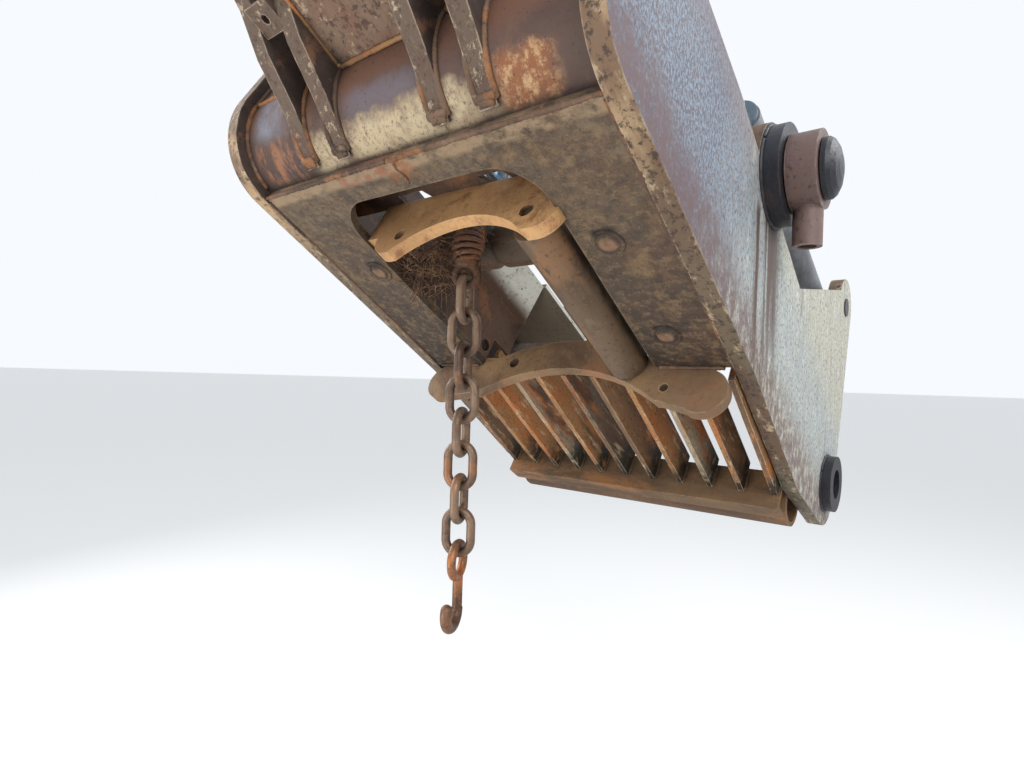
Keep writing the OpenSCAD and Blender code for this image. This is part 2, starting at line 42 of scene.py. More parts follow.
# The arch's own axes: s up along the legs, n square to them, y to the left, in metres
LEAN = math.radians(32.5)
ALONG = Vector((-math.cos(LEAN), 0, math.sin(LEAN)))
SQUARE = Vector((math.sin(LEAN), 0, math.cos(LEAN)))
LEFT = Vector((0, 1, 0))
PIVOT_S, PIVOT_N = -0.300, 0.125


def arch(s, n, y):
    return ALONG * (s - PIVOT_S) + SQUARE * (n - PIVOT_N) + LEFT * y


def arch_matrix(s, n, y, ahead, up):
    """Places a piece drawn with its z along `ahead` and its x along `up` at a point of the arch."""
    z = Vector(ahead).normalized()
    x = Vector(up).normalized()
    turn = Matrix((x, z.cross(x), z)).transposed().to_4x4()
    return Matrix.Translation(arch(s, n, y)) @ turn


# Camera
CAMERA_AT = Vector((-2.0722, -0.9065, 0.2918))
YAW, PITCH, ROLL = (math.radians(a) for a in (38.879, -0.402, 1.738))
LENS_MM = 21.14

level_ahead = Vector((math.cos(YAW), math.sin(YAW), 0))
level_right = Vector((math.sin(YAW), -math.cos(YAW), 0))
above = Vector((0, 0, 1))
look = level_ahead * math.cos(PITCH) + above * math.sin(PITCH)
top = above * math.cos(PITCH) - level_ahead * math.sin(PITCH)
right = level_right * math.cos(ROLL) + top * math.sin(ROLL)
top = top * math.cos(ROLL) - level_right * math.sin(ROLL)
lens = bpy.data.cameras.new("camera")
lens.lens = LENS_MM
lens.sensor_width = 36
lens.clip_start = 0.05
camera = bpy.data.objects.new("camera", lens)
camera.matrix_world = (
    Matrix.Translation(CAMERA_AT) @ Matrix((right, top, -look)).transposed().to_4x4()
)
bpy.context.collection.objects.link(camera)
bpy.context.scene.camera = camera


# Materials
def tint(red, green, blue):
    """A colour given as it looks on a screen, 0 to 255."""
    parts = []
    for value in (red, green, blue):
        c = value / 255
        parts.append(c / 12.92 if c <= 0.04045 else ((c + 0.055) / 1.055) ** 2.4)
    return (*parts, 1)


class Finish:
    """A weathered steel surface, built up in layers. Patterns run along the arch's own axes."""

    def __init__(self, name, colour, roughness=0.75, metallic=0.0, turned=True):
        self.material = bpy.data.materials.new(name)
        self.material.use_nodes = True
        self.tree = self.material.node_tree
        self.shader = self.tree.nodes["Principled BSDF"]
        self.shader.inputs["Roughness"].default_value = roughness
        self.shader.inputs["Metallic"].default_value = metallic
        self.place = self.tree.nodes.new("ShaderNodeTexCoord")
        self.turned = turned
        self.colour = colour
        self.heights = []

    def node(self, kind, **inputs):
        made = self.tree.nodes.new("ShaderNode" + kind)
        for key, value in inputs.items():
            self.put(made.inputs[key.replace("_", " ")], value)
        return made

    def put(self, socket, value):
        if isinstance(value, bpy.types.NodeSocket):
            self.tree.links.new(value, socket)
        else:
            socket.default_value = value

    def coordinates(self, stretch=(1, 1, 1), shift=(0, 0, 0), plumb=False):
        spot = self.place.outputs["Object"]
        if self.turned and not plumb:
            spot = self.node("Mapping", Vector=spot, Rotation=(0, -LEAN, 0)).outputs[0]
        if stretch != (1, 1, 1) or shift != (0, 0, 0):
            spot = self.node("Mapping", Vector=spot, Scale=stretch, Location=shift).outputs[0]
        return spot

    def cloud(self, scale, detail=5, rough=0.6, stretch=(1, 1, 1), shift=(0, 0, 0), warp=0.0,
              plumb=False):
        made = self.node("TexNoise", Vector=self.coordinates(stretch, shift, plumb), Scale=scale,
                         Detail=detail, Roughness=rough, Distortion=warp)
        return made.outputs["Fac"]

    def axis(self, which, low, high, ragged=0.0, grain=9):
        """0 below `low` and 1 above `high` along an axis of the arch: s, y or n."""
        split = self.node("SeparateXYZ", Vector=self.coordinates())
        out = split.outputs["XYZ".index({"s": "X", "y": "Y", "n": "Z"}[which])]
        if which == "s":
            low, high = low - PIVOT_S, high - PIVOT_S
            out = self.sum("MULTIPLY", out, -1.0)
        if which == "n":
            low, high = low - PIVOT_N, high - PIVOT_N
        if ragged:
            ripple = self.sum("SUBTRACT", self.cloud(grain, 6, 0.65, shift=(2, 9, 4)), 0.5)
            out = self.sum("ADD", out, self.sum("MULTIPLY", ripple, ragged))
        return self.step(out, low, high)

    def band(self, which, low, high, soft=0.01, ragged=0.0, grain=9):
        """1 between `low` and `high` along an axis of the arch."""
        over = self.axis(which, low - soft, low + soft, ragged, grain)
        past = self.axis(which, high - soft, high + soft, ragged, grain)
        return self.sum("SUBTRACT", over, past)

    def outward(self, low, high):
        """0 below `low` and 1 above `high` in distance from the arch's middle plane."""
        split = self.node("SeparateXYZ", Vector=self.coordinates(plumb=True))
        return self.step(self.sum("ABSOLUTE", split.outputs["Y"], 0.0), low, high)

    def level(self, which, low, high):
        """0 below `low` and 1 above `high` along the level or upright axis x or z."""
        split = self.node("SeparateXYZ", Vector=self.coordinates(plumb=True))
        return self.step(split.outputs[which.upper()], low, high)

    def facing(self, direction, low, high):
        """1 where the surface faces along or against a direction."""
        dot = self.node("VectorMath", Vector=self.place.outputs["Normal"])
        dot.operation = "DOT_PRODUCT"
        dot.inputs[1].default_value = direction
        return self.step(self.sum("ABSOLUTE", dot.outputs["Value"], 0.0), low, high)

    def edges(self, radius=0.006, low=0.03, high=0.25):
        """1 close to a piece's outer edges."""
        bevel = self.tree.nodes.new("ShaderNodeBevel")
        bevel.samples = 4
        bevel.inputs["Radius"].default_value = radius
        flat = self.tree.nodes.new("ShaderNodeNewGeometry").outputs["Normal"]
        dot = self.node("VectorMath", Vector=bevel.outputs["Normal"])
        dot.operation = "DOT_PRODUCT"
        self.put(dot.inputs[1], flat)
        return self.step(self.sum("SUBTRACT", 1.0, dot.outputs["Value"]), low, high)

    def corners(self, reach=0.045, low=0.30, high=0.80):
        """1 deep in the corners, where ambient occlusion finds shade: the mask for painted shade."""
        shade = self.tree.nodes.new("ShaderNodeAmbientOcclusion")
        shade.samples = 4
        shade.inputs["Distance"].default_value = reach
        return self.sum("SUBTRACT", 1.0, self.step(shade.outputs["AO"], low, high))

    def inverse(self, mask):
        return self.sum("SUBTRACT", 1.0, mask)

    def sum(self, operation, a, b):
        made = self.tree.nodes.new("ShaderNodeMath")
        made.operation = operation
        self.put(made.inputs[0], a)
        self.put(made.inputs[1], b)
        return made.outputs[0]

    def step(self, value, low, high, top_value=1.0):
        made = self.tree.nodes.new("ShaderNodeMapRange")
        made.interpolation_type = "SMOOTHSTEP"
        self.put(made.inputs["Value"], value)
        made.inputs["From Min"].default_value = low
        made.inputs["From Max"].default_value = high
        made.inputs["To Max"].default_value = top_value
        return made.outputs[0]

    def both(self, *masks):
        out = masks[0]
        for mask in masks[1:]:
            out = self.sum("MULTIPLY", out, mask)
        return out

    def coat(self, mask, colour):
        """Lays a colour over what is there, where the mask is 1."""
        made = self.tree.nodes.new("ShaderNodeMix")
        made.data_type = "RGBA"
        self.put(made.inputs["Factor"], mask)
        self.put(made.inputs[6], self.colour)
        self.put(made.inputs[7], colour)
        self.colour = made.outputs[2]

    def relief(self, height, depth):
        self.heights.append((height, depth))

    def done(self):
        self.put(self.shader.inputs["Base Color"], self.colour)
        normal = None
        for height, depth in self.heights:
            bump = self.node("Bump", Height=height, Strength=1.0, Distance=depth)
            if normal:
                self.put(bump.inputs["Normal"], normal)
            normal = bump.outputs["Normal"]
        if normal:
            self.put(self.shader.inputs["Normal"], normal)
        return self.material


def weathered(name, ground, dark, rust, rubbed, dust=None, roughness=0.72, metallic=0.0,
              rust_from=0.52, rust_size=7.0, rub=0.75, drag=(1, 1, 1), turned=True, pits=0.0012,
              corner_shade=0.85, shaded=None):
    """Bare steel that has rusted and been rubbed: ground colour, dark oil, rust and bright edges."""
    f = Finish(name, ground, roughness, metallic, turned)
    f.coat(f.step(f.cloud(3.2, 6, 0.62, drag, warp=0.4), 0.42, 0.62), dark)
    f.coat(f.step(f.cloud(rust_size, 7, 0.66, drag, (3, 1, 2), 0.3), rust_from, rust_from + 0.12),
           rust)
    f.coat(f.step(f.cloud(70, 4, 0.7), 0.54, 0.68, 0.8), dark)
    f.coat(f.step(f.cloud(150, 3, 0.6, shift=(5, 5, 5)), 0.58, 0.70, 0.6), rust)
    if dust:
        f.coat(f.step(f.cloud(16, 6, 0.7, drag, (1, 7, 4)), 0.53, 0.68, 0.7), dust)
    # Painted shade: darkens corners found by ambient occlusion, broken up by noise.
    if corner_shade:
        f.coat(f.both(f.corners(), f.step(f.cloud(30, 5, 0.6), 0.25, 0.55, corner_shade)), CORNER_SHADE)
    # Painted shade: darkens the piece to the right of the given y span.
    if shaded:
        f.coat(f.sum("MULTIPLY", f.inverse(f.axis("y", *shaded, 0.06)), 0.6), dark)
    f.coat(f.both(f.edges(), f.step(f.cloud(28, 5, 0.6), 0.38, 0.62, rub)), rubbed)
    f.relief(f.cloud(9, 6, 0.6), 0.004)
    f.relief(f.cloud(90, 5, 0.7), pits)
    return f.done()


def plate_finish():
    """Side plates: a mauve primer worn to pale blue flecks, tan edges, and rust brown inside."""
    f = Finish("worn_plate_paint", tint(84, 79, 92), 0.62)
    drop = (1, 1, 0.6)
    f.coat(f.step(f.cloud(2.8, 5, 0.58, warp=0.5), 0.42, 0.62, 0.8), tint(102, 92, 98))
    rear = f.both(f.axis("n", 0.26, 0.44, 0.12, 4), f.axis("s", 0.45, 0.75, 0.2, 4))
    f.coat(f.sum("MULTIPLY", rear, 0.8), tint(132, 118, 120))
    low = f.inverse(f.axis("s", 0.46, 1.00, 0.3, 4))
    f.coat(f.both(low, f.step(f.cloud(24, 6, 0.65, (1, 1, 0.14), (1, 4, 6), plumb=True), 0.24, 0.48)),
           tint(192, 190, 172))
    f.coat(f.both(low, f.step(f.cloud(60, 6, 0.7, (1, 1, 0.2), (7, 4, 6), plumb=True), 0.50, 0.62)),
           tint(212, 212, 202))
    flecks = f.step(f.cloud(190, 6, 0.78, drop, plumb=True), 0.46, 0.56, 0.8)
    worn = f.both(f.axis("n", 0.02, 0.13, 0.10, 6), f.inverse(f.axis("n", 0.24, 0.42, 0.12, 6)))
    f.coat(f.both(worn, flecks), tint(142, 166, 186))
    f.coat(f.step(f.cloud(160, 5, 0.78, drop, (6, 1, 3), plumb=True), 0.52, 0.60, 0.65),
           tint(138, 148, 158))
    f.coat(f.step(f.cloud(130, 6, 0.78, drop, (2, 2, 2), plumb=True), 0.51, 0.60, 0.8),
           tint(84, 70, 76))
    f.coat(f.step(f.cloud(30, 7, 0.75, drop, (7, 2, 5), plumb=True), 0.56, 0.68, 0.7),
           tint(112, 84, 80))
    under = f.inverse(f.axis("n", 0.02, 0.16, 0.10, 7))
    f.coat(f.both(under, f.step(f.cloud(40, 7, 0.78, drop, (3, 3, 9), plumb=True), 0.38, 0.56, 0.85)),
           tint(100, 76, 76))
    runs = f.step(f.cloud(30, 4, 0.6, (1, 1, 0.04), (4, 0, 0), plumb=True), 0.42, 0.56, 0.9)
    beside = f.both(f.level("x", -0.80, -0.75), f.inverse(f.level("x", -0.62, -0.56)))
    height = f.both(f.level("z", 0.16, 0.50), f.inverse(f.level("z", 0.66, 0.70)))
    f.coat(f.both(runs, beside, height), tint(78, 54, 44))
    for at, foot in ((-0.745, 0.22), (-0.645, 0.34)):
        drip = f.both(f.level("x", at - 0.010, at - 0.003),
                      f.inverse(f.level("x", at + 0.003, at + 0.010)),
                      f.level("z", foot, foot + 0.28), f.inverse(f.level("z", 0.66, 0.70)))
        f.coat(f.sum("MULTIPLY", drip, 0.85), tint(84, 54, 40))
    inside = f.inverse(f.outward(0.462, 0.470))
    f.coat(inside, tint(72, 55, 46))
    f.coat(f.both(inside, f.step(f.cloud(9, 6, 0.68), 0.44, 0.62)), tint(48, 37, 33))
    f.coat(f.both(inside, f.step(f.cloud(26, 6, 0.7, shift=(2, 2, 8)), 0.54, 0.66, 0.8)),
           tint(112, 80, 56))
    edge = f.inverse(f.facing(LEFT, 0.5, 0.9))
    f.coat(edge, tint(110, 92, 71))
    f.coat(f.both(edge, f.axis("s", 0.95, 1.20, 0.3, 6)), tint(182, 152, 116))
    f.coat(f.both(edge, f.inverse(f.axis("s", 0.35, 0.75, 0.3))), tint(104, 94, 76))
    f.coat(f.both(edge, f.step(f.cloud(7, 6, 0.6, (0.35, 1, 1)), 0.46, 0.60, 0.8)), tint(98, 70, 50))
    f.coat(f.both(edge, f.step(f.cloud(34, 6, 0.7, (0.5, 1, 1), (3, 1, 0)), 0.53, 0.64, 0.8)),
           tint(188, 166, 132))
    f.coat(f.both(edge, f.step(f.cloud(64, 6, 0.75), 0.50, 0.61, 0.9)), tint(58, 42, 34))
    # Painted shade: dark brown in the corners, from the occlusion mask.
    f.coat(f.both(f.corners(0.06), f.step(f.cloud(30, 5, 0.6), 0.25, 0.55, 0.85)), CORNER_SHADE)
    f.coat(f.both(f.edges(0.006), f.step(f.cloud(22, 5, 0.6), 0.42, 0.62, 0.8)),
           tint(190, 170, 146))
    f.relief(f.cloud(7, 6, 0.6), 0.004)
    f.relief(f.cloud(110, 5, 0.75), 0.0012)
    return f.done()


def cross_member_finish():
    """Red-brown above, rubbed to cream low on the bend, with a dark smear over the lap seam."""
    f = Finish("cross_member_rust", tint(90, 68, 58), 0.66)
    f.coat(f.step(f.cloud(3.4, 5, 0.6, warp=0.5), 0.42, 0.62, 0.9), tint(74, 53, 47))
    f.coat(f.step(f.cloud(10, 6, 0.64, (0.7, 1.1, 0.7), (4, 4, 4)), 0.52, 0.68, 0.6),
           tint(116, 84, 66))
    f.coat(f.band("n", 0.085, 0.150, 0.02, 0.05), tint(104, 71, 55))

    def worn(n0, n1, y0, y1, ragged, soft=0.008):
        return f.both(f.band("n", n0, n1, soft, ragged, 26), f.band("y", y0, y1, 3 * soft, ragged, 12),
                      f.axis("s", 1.196, 1.208, 0.02, 16))

    f.coat(f.sum("MULTIPLY", worn(0.052, 0.086, -0.12, 0.09, 0.04, 0.012), 0.7), tint(108, 100, 108))
    cream = worn(0.010, 0.050, -0.275, 0.250, 0.030)
    f.coat(f.both(cream, f.step(f.cloud(9, 7, 0.70, shift=(8, 2, 1)), 0.34, 0.54)), tint(160, 138, 110))
    f.coat(f.both(worn(0.010, 0.050, -0.21, 0.235, 0.030),
                  f.step(f.cloud(15, 7, 0.72, shift=(2, 2, 1)), 0.38, 0.56)), tint(190, 171, 138))
    f.coat(f.both(cream, f.step(f.cloud(130, 6, 0.8, shift=(2, 4, 1)), 0.54, 0.62, 0.85)),
           tint(104, 82, 66))
    f.coat(f.both(cream, f.step(f.cloud(34, 6, 0.7, (0.35, 1.3, 0.35), (1, 5, 1)), 0.55, 0.66, 0.7)),
           tint(120, 88, 68))
    patch = worn(0.027, 0.056, -0.385, -0.280, 0.030)
    f.coat(f.both(patch, f.step(f.cloud(9, 6, 0.7), 0.28, 0.50)), tint(140, 86, 50))
    f.coat(f.both(patch, f.step(f.cloud(46, 8, 0.84, shift=(1, 6, 1)), 0.47, 0.60)),
           tint(190, 154, 112))
    f.coat(f.both(worn(0.024, 0.066, 0.25, 0.43, 0.04),
                  f.step(f.cloud(24, 6, 0.72, (0.6, 1.4, 0.6), (3, 1, 1)), 0.46, 0.60)),
           tint(146, 100, 70))
    # Painted highlight: a pale bluish glint near the left end of the bend.
    painted_glint = f.both(f.axis("n", 0.055, 0.085, 0.03), f.band("y", 0.30, 0.41, 0.04, 0.05))
    f.coat(f.both(painted_glint, f.step(f.cloud(9, 5, 0.6), 0.30, 0.60, 0.85)), tint(142, 146, 160))
    f.coat(f.step(f.cloud(120, 5, 0.72, shift=(6, 1, 3)), 0.58, 0.67, 0.75), tint(62, 44, 38))
    smear = f.both(f.inverse(f.axis("s", 1.200, 1.214, 0.026, 12)),
                   f.step(f.cloud(9, 6, 0.65, (1, 0.5, 1)), 0.38, 0.56, 0.9))
    f.coat(smear, tint(68, 48, 42))
    # Painted shade: dark brown in the corners, from the occlusion mask.
    f.coat(f.both(f.corners(0.06), f.step(f.cloud(30, 5, 0.6), 0.25, 0.50, 0.9)), CORNER_SHADE)
    f.coat(f.both(f.edges(), f.step(f.cloud(28, 5, 0.6), 0.38, 0.62, 0.7)), tint(190, 168, 142))
    f.relief(f.cloud(9, 6, 0.6), 0.004)
    f.relief(f.cloud(80, 5, 0.72), 0.0012)
    return f.done()


PLUGS = [(0.918, -0.337), (0.632, -0.347), (0.927, 0.318)]


def fairlead_finish():
    """Olive-brown, darker towards the foot, scraped tan along its top, with rust by the crack."""
    f = Finish("fairlead_wear", tint(98, 82, 64), 0.72)
    f.coat(f.step(f.cloud(4.5, 7, 0.66, warp=0.5), 0.44, 0.62, 0.85), tint(74, 59, 47))
    f.coat(f.inverse(f.axis("s", 0.58, 1.04, 0.35, 5)), tint(52, 40, 32))
    right = f.inverse(f.axis("y", -0.42, -0.26, 0.12, 5))
    f.coat(f.both(right, f.step(f.cloud(7, 6, 0.66, shift=(1, 1, 6)), 0.40, 0.62, 0.7)),
           tint(94, 68, 52))
    f.coat(f.step(f.cloud(17, 7, 0.74, shift=(5, 2, 1)), 0.48, 0.64, 0.75), tint(122, 96, 66))
    f.coat(f.both(f.axis("s", 1.02, 1.12, 0.12), f.step(f.cloud(15, 7, 0.7, (1, 0.4, 1)), 0.44, 0.60, 0.8)),
           tint(118, 101, 81))
    f.coat(f.step(f.cloud(42, 8, 0.78, shift=(1, 8, 3)), 0.45, 0.60, 0.50), tint(50, 40, 33))
    f.coat(f.step(f.cloud(64, 8, 0.80, (1, 0.6, 1), (9, 8, 3)), 0.50, 0.62, 0.48), tint(140, 115, 84))
    f.coat(f.step(f.cloud(150, 6, 0.8, shift=(9, 1, 3)), 0.54, 0.63, 0.55), tint(48, 38, 32))
    f.coat(f.step(f.cloud(38, 7, 0.8, shift=(2, 5, 5)), 0.60, 0.69, 0.8), tint(150, 96, 54))
    strip = f.axis("s", 1.164, 1.178, 0.016, 14)
    f.coat(f.both(strip, f.step(f.cloud(26, 6, 0.72, (1, 0.6, 1)), 0.38, 0.56)), tint(150, 126, 98))
    f.coat(f.both(strip, f.band("y", 0.03, 0.19, 0.02, 0.06), f.step(f.cloud(34, 6, 0.7), 0.42, 0.58)),
           tint(146, 96, 72))
    crack = f.both(f.band("y", -0.03, 0.04, 0.012, 0.05, 20), f.axis("s", 1.14, 1.17, 0.05, 20))
    f.coat(f.both(crack, f.step(f.cloud(40, 5, 0.7), 0.42, 0.58, 0.85)), tint(146, 88, 50))
    for s, y in PLUGS:
        # Painted shadow: a dark crescent on the upper side of each plug.
        plug_shadow = f.both(f.band("s", s + 0.020, s + 0.034, 0.006, 0.010, 30),
                        f.band("y", y - 0.024, y + 0.024, 0.010, 0.010, 30))
        f.coat(plug_shadow, tint(38, 28, 24))
        rusty = f.both(f.band("s", s - 0.012, s + 0.010, 0.008, 0.015, 30),
                       f.band("y", y - 0.016, y + 0.016, 0.010, 0.015, 30))
        f.coat(rusty, tint(142, 108, 82))
    # Painted shade: dark brown in the corners, from the occlusion mask.
    f.coat(f.both(f.corners(0.06), f.step(f.cloud(30, 5, 0.6), 0.25, 0.50, 0.95)), CORNER_SHADE)
    f.coat(f.both(f.edges(), f.step(f.cloud(24, 5, 0.6), 0.36, 0.60, 0.8)), tint(158, 134, 102))
    f.relief(f.cloud(10, 6, 0.62), 0.004)
    f.relief(f.cloud(95, 5, 0.75), 0.0014)
    return f.done()


def bar_finish():
    """No two bars alike: orange, tan, brown and near black, with wet dirt at their feet."""
    f = Finish("bar_rust", tint(166, 118, 70), 0.7)
    bar_by_bar = (0.02, 1, 0.02)
    along = (0.22, 1, 1)
    f.coat(f.step(f.cloud(8, 1, 0.5, bar_by_bar), 0.47, 0.52), tint(112, 84, 60))
    f.coat(f.step(f.cloud(9, 1, 0.5, bar_by_bar, (0, 3, 0)), 0.56, 0.60), tint(158, 142, 118))
    f.coat(f.step(f.cloud(12, 6, 0.66, along, warp=0.3), 0.48, 0.62), tint(180, 108, 52))
    f.coat(f.step(f.cloud(10, 6, 0.66, along, (5, 3, 1)), 0.50, 0.62, 0.9), tint(76, 56, 42))
    f.coat(f.step(f.cloud(40, 6, 0.72, along, (1, 1, 7)), 0.55, 0.66, 0.8), tint(204, 180, 142))
    f.coat(f.step(f.cloud(110, 5, 0.75), 0.54, 0.66, 0.85), tint(58, 42, 34))
    foot = f.inverse(f.axis("s", 0.03, 0.12, 0.12, 16))
    f.coat(f.both(foot, f.step(f.cloud(40, 5, 0.6), 0.30, 0.52)), tint(42, 38, 28))
    f.coat(f.both(f.edges(0.004), f.step(f.cloud(30, 5, 0.6), 0.36, 0.58, 0.9)), tint(216, 198, 166))
    f.relief(f.cloud(14, 6, 0.6), 0.003)
    f.relief(f.cloud(100, 5, 0.7), 0.0010)
    return f.done()


def ear_finish():
    """Ears: dark brown cheeks, and tan pitted edges that the boom's dirt hasn't covered."""
    f = Finish("ear_rust", tint(86, 68, 58), 0.7)
    f.coat(f.step(f.cloud(5, 6, 0.64, (0.6, 1, 1), warp=0.4), 0.42, 0.60), tint(56, 43, 38))
    f.coat(f.step(f.cloud(18, 7, 0.7, shift=(3, 1, 2)), 0.53, 0.66, 0.8), tint(124, 88, 64))
    edge = f.inverse(f.facing(LEFT, 0.5, 0.9))
    f.coat(edge, tint(100, 81, 66))
    f.coat(f.both(edge, f.step(f.cloud(16, 6, 0.7), 0.46, 0.60, 0.85)), tint(92, 68, 54))
    f.coat(f.both(edge, f.step(f.cloud(44, 7, 0.8, shift=(1, 1, 4)), 0.55, 0.64, 0.85)),
           tint(188, 168, 140))
    f.coat(f.step(f.cloud(90, 6, 0.78, shift=(2, 0, 3)), 0.54, 0.64, 0.85), tint(50, 38, 33))
    # Painted shade: dark brown in the corners, from the occlusion mask.
    f.coat(f.both(f.corners(), f.step(f.cloud(30, 5, 0.6), 0.25, 0.55, 0.85)), CORNER_SHADE)
    f.coat(f.both(f.edges(0.005), f.step(f.cloud(28, 5, 0.6), 0.38, 0.60, 0.9)), tint(204, 184, 158))
    f.relief(f.cloud(9, 6, 0.6), 0.004)
    f.relief(f.cloud(90, 5, 0.72), 0.0014)
    return f.done()


def panel_finish():
    """The web between the ears: cream scale, pitted through to dark rust."""
    f = Finish("web_scale", tint(128, 105, 86), 0.78)
    f.coat(f.step(f.cloud(8, 6, 0.66, warp=0.4), 0.46, 0.64, 0.85), tint(122, 88, 70))
    f.coat(f.step(f.cloud(60, 7, 0.8), 0.50, 0.58, 0.9), tint(78, 58, 49))
    f.coat(f.step(f.cloud(36, 6, 0.75, shift=(4, 1, 1)), 0.56, 0.64, 0.8), tint(184, 162, 134))
    # Painted shade: dark brown in the corners, from the occlusion mask.
    f.coat(f.both(f.corners(0.06), f.step(f.cloud(30, 5, 0.6), 0.25, 0.50, 0.9)), CORNER_SHADE)
    f.relief(f.cloud(70, 6, 0.8), 0.002)
    return f.done()


def flange_finish():
    """Housing flanges: pale grey primer on their slanted sides, olive grey where they lie flat."""
    f = Finish("flange_primer", tint(124, 114, 96), 0.7)
    slanted = f.facing(LEFT, 0.30, 0.60)
    f.coat(f.both(slanted, f.inverse(f.outward(0.262, 0.30))), tint(240, 241, 230))
    f.coat(f.both(slanted, f.step(f.cloud(7, 6, 0.66, shift=(2, 2, 2)), 0.52, 0.68, 0.7)),
           tint(180, 172, 156))
    f.coat(f.step(f.cloud(26, 7, 0.74), 0.56, 0.66, 0.85), tint(112, 88, 70))
    f.coat(f.step(f.cloud(60, 6, 0.75, shift=(5, 2, 2)), 0.56, 0.66, 0.8), tint(84, 72, 62))
    fold = f.outward(0.225, 0.262)
    f.coat(f.both(fold, slanted, f.step(f.cloud(16, 6, 0.7), 0.26, 0.46)), tint(96, 70, 54))
    # Painted shade: dark brown in the corners, from the occlusion mask.
    f.coat(f.both(f.corners(), f.step(f.cloud(30, 5, 0.6), 0.25, 0.55, 0.8)), CORNER_SHADE)
    f.coat(f.both(f.edges(), f.step(f.cloud(28, 5, 0.6), 0.38, 0.60, 0.7)), tint(206, 200, 188))
    f.relief(f.cloud(9, 6, 0.6), 0.004)
    return f.done()


# Painted shade: the dark brown laid into corners wherever the occlusion mask finds them.
CORNER_SHADE = tint(36, 27, 23)
CROSS = cross_member_finish()
FAIRLEAD = fairlead_finish()
PLATE = plate_finish()
BARS = bar_finish()
EARS = ear_finish()
HOUSING = weathered("housing_rust", tint(98, 72, 54), tint(58, 41, 33), tint(134, 88, 56),
                    tint(160, 132, 108))
FLANGE = flange_finish()
WEB = panel_finish()
GUIDE_UP = weathered("guide_tan", tint(208, 160, 108), tint(176, 132, 88), tint(150, 102, 66),
                     tint(214, 180, 134), tint(140, 106, 76), rust_from=0.54, rust_size=11, rub=0.6)
# The shaded span paints shade over the guide's right-hand lobe.
GUIDE_LOW = weathered("guide_dark", tint(156, 124, 88), tint(104, 79, 58), tint(152, 108, 74),
                      tint(190, 162, 128), tint(140, 122, 98), rub=0.9, shaded=(-0.36, -0.16))
ROLLER = weathered("roller_skin", tint(106, 84, 62), tint(70, 54, 41), tint(132, 96, 64),
                   tint(150, 124, 98), tint(120, 100, 76), drag=(0.5, 1, 1), roughness=0.6,
                   rust_from=0.48)
OVER_ROLLER = weathered("over_roller_skin", tint(94, 77, 60), tint(64, 51, 40), tint(112, 84, 62),
                        tint(146, 122, 100), drag=(1, 0.2, 1), roughness=0.55, metallic=0.2)
CROSSBAR = weathered("crossbar_rust", tint(124, 95, 64), tint(84, 65, 46), tint(142, 98, 58),
                     tint(180, 156, 122), drag=(1, 0.4, 1))
TUBE = weathered("tube_rust", tint(128, 96, 66), tint(84, 62, 46), tint(150, 100, 60),
                 tint(180, 156, 128), drag=(1, 0.3, 1))
BOSS = weathered("boss_grease", tint(26, 28, 38), tint(16, 16, 22), tint(54, 41, 38),
                 tint(92, 84, 84), roughness=0.42, rust_from=0.60)
LIFT_EYE = weathered("lift_eye_rust", tint(112, 90, 84), tint(60, 50, 52), tint(126, 88, 68),
                     tint(168, 150, 140), roughness=0.5, rust_from=0.54)
CHAIN = weathered("chain_steel", tint(134, 110, 90), tint(84, 64, 52), tint(148, 104, 72),
                  tint(204, 194, 190), roughness=0.42, metallic=0.4, turned=False, rub=0.9)
HOOK = weathered("hook_steel", tint(142, 104, 76), tint(84, 60, 48), tint(176, 110, 64),
                 tint(214, 190, 170), roughness=0.45, metallic=0.5, turned=False, rub=0.9)
ROPE = weathered("rope_wire", tint(92, 68, 55), tint(50, 37, 32), tint(134, 90, 60),
                 tint(156, 134, 114), metallic=0.2, turned=False, corner_shade=0)
BARREL = weathered("barrel_grey", tint(132, 137, 142), tint(96, 98, 102), tint(122, 98, 82),
                   tint(176, 178, 180), rust_from=0.62, roughness=0.5)
GLAND = weathered("gland_grey", tint(92, 108, 120), tint(66, 76, 86), tint(108, 90, 78),
                  tint(150, 160, 168), rust_from=0.66, roughness=0.45)
WELD = weathered("weld_rust", tint(112, 86, 66), tint(66, 48, 38), tint(150, 98, 58),
                 tint(190, 164, 132), dust=tint(140, 118, 94), rub=0.6)
TAN_WELD = weathered("weld_tan", tint(160, 118, 74), tint(112, 78, 52), tint(166, 104, 58),
                     tint(206, 176, 130), rub=0.8)
STRAW = Finish("straw_and_wire", tint(118, 88, 66), 0.8)
STRAW.coat(STRAW.step(STRAW.cloud(30, 4, 0.6), 0.42, 0.60), tint(66, 46, 36))
STRAW.coat(STRAW.step(STRAW.cloud(44, 4, 0.6, shift=(3, 3, 3)), 0.54, 0.66), tint(168, 132, 92))
STRAW = STRAW.done()
FRESH_RUST = weathered("fresh_rust", tint(146, 90, 52), tint(98, 62, 42), tint(172, 114, 66),
                       tint(206, 160, 110), rust_size=40)
# The rod's blue tint and its deeper blue streaks are a painted reflection of the sky on chrome.
rod = Finish("rod_chrome", tint(178, 208, 232), 0.14, 1.0)
rod.coat(rod.step(rod.cloud(14, 5, 0.6, (0.2, 1, 1)), 0.50, 0.70, 0.6), tint(140, 176, 206))
rod.relief(rod.cloud(60, 3, 0.5), 0.00004)
ROD = rod.done()

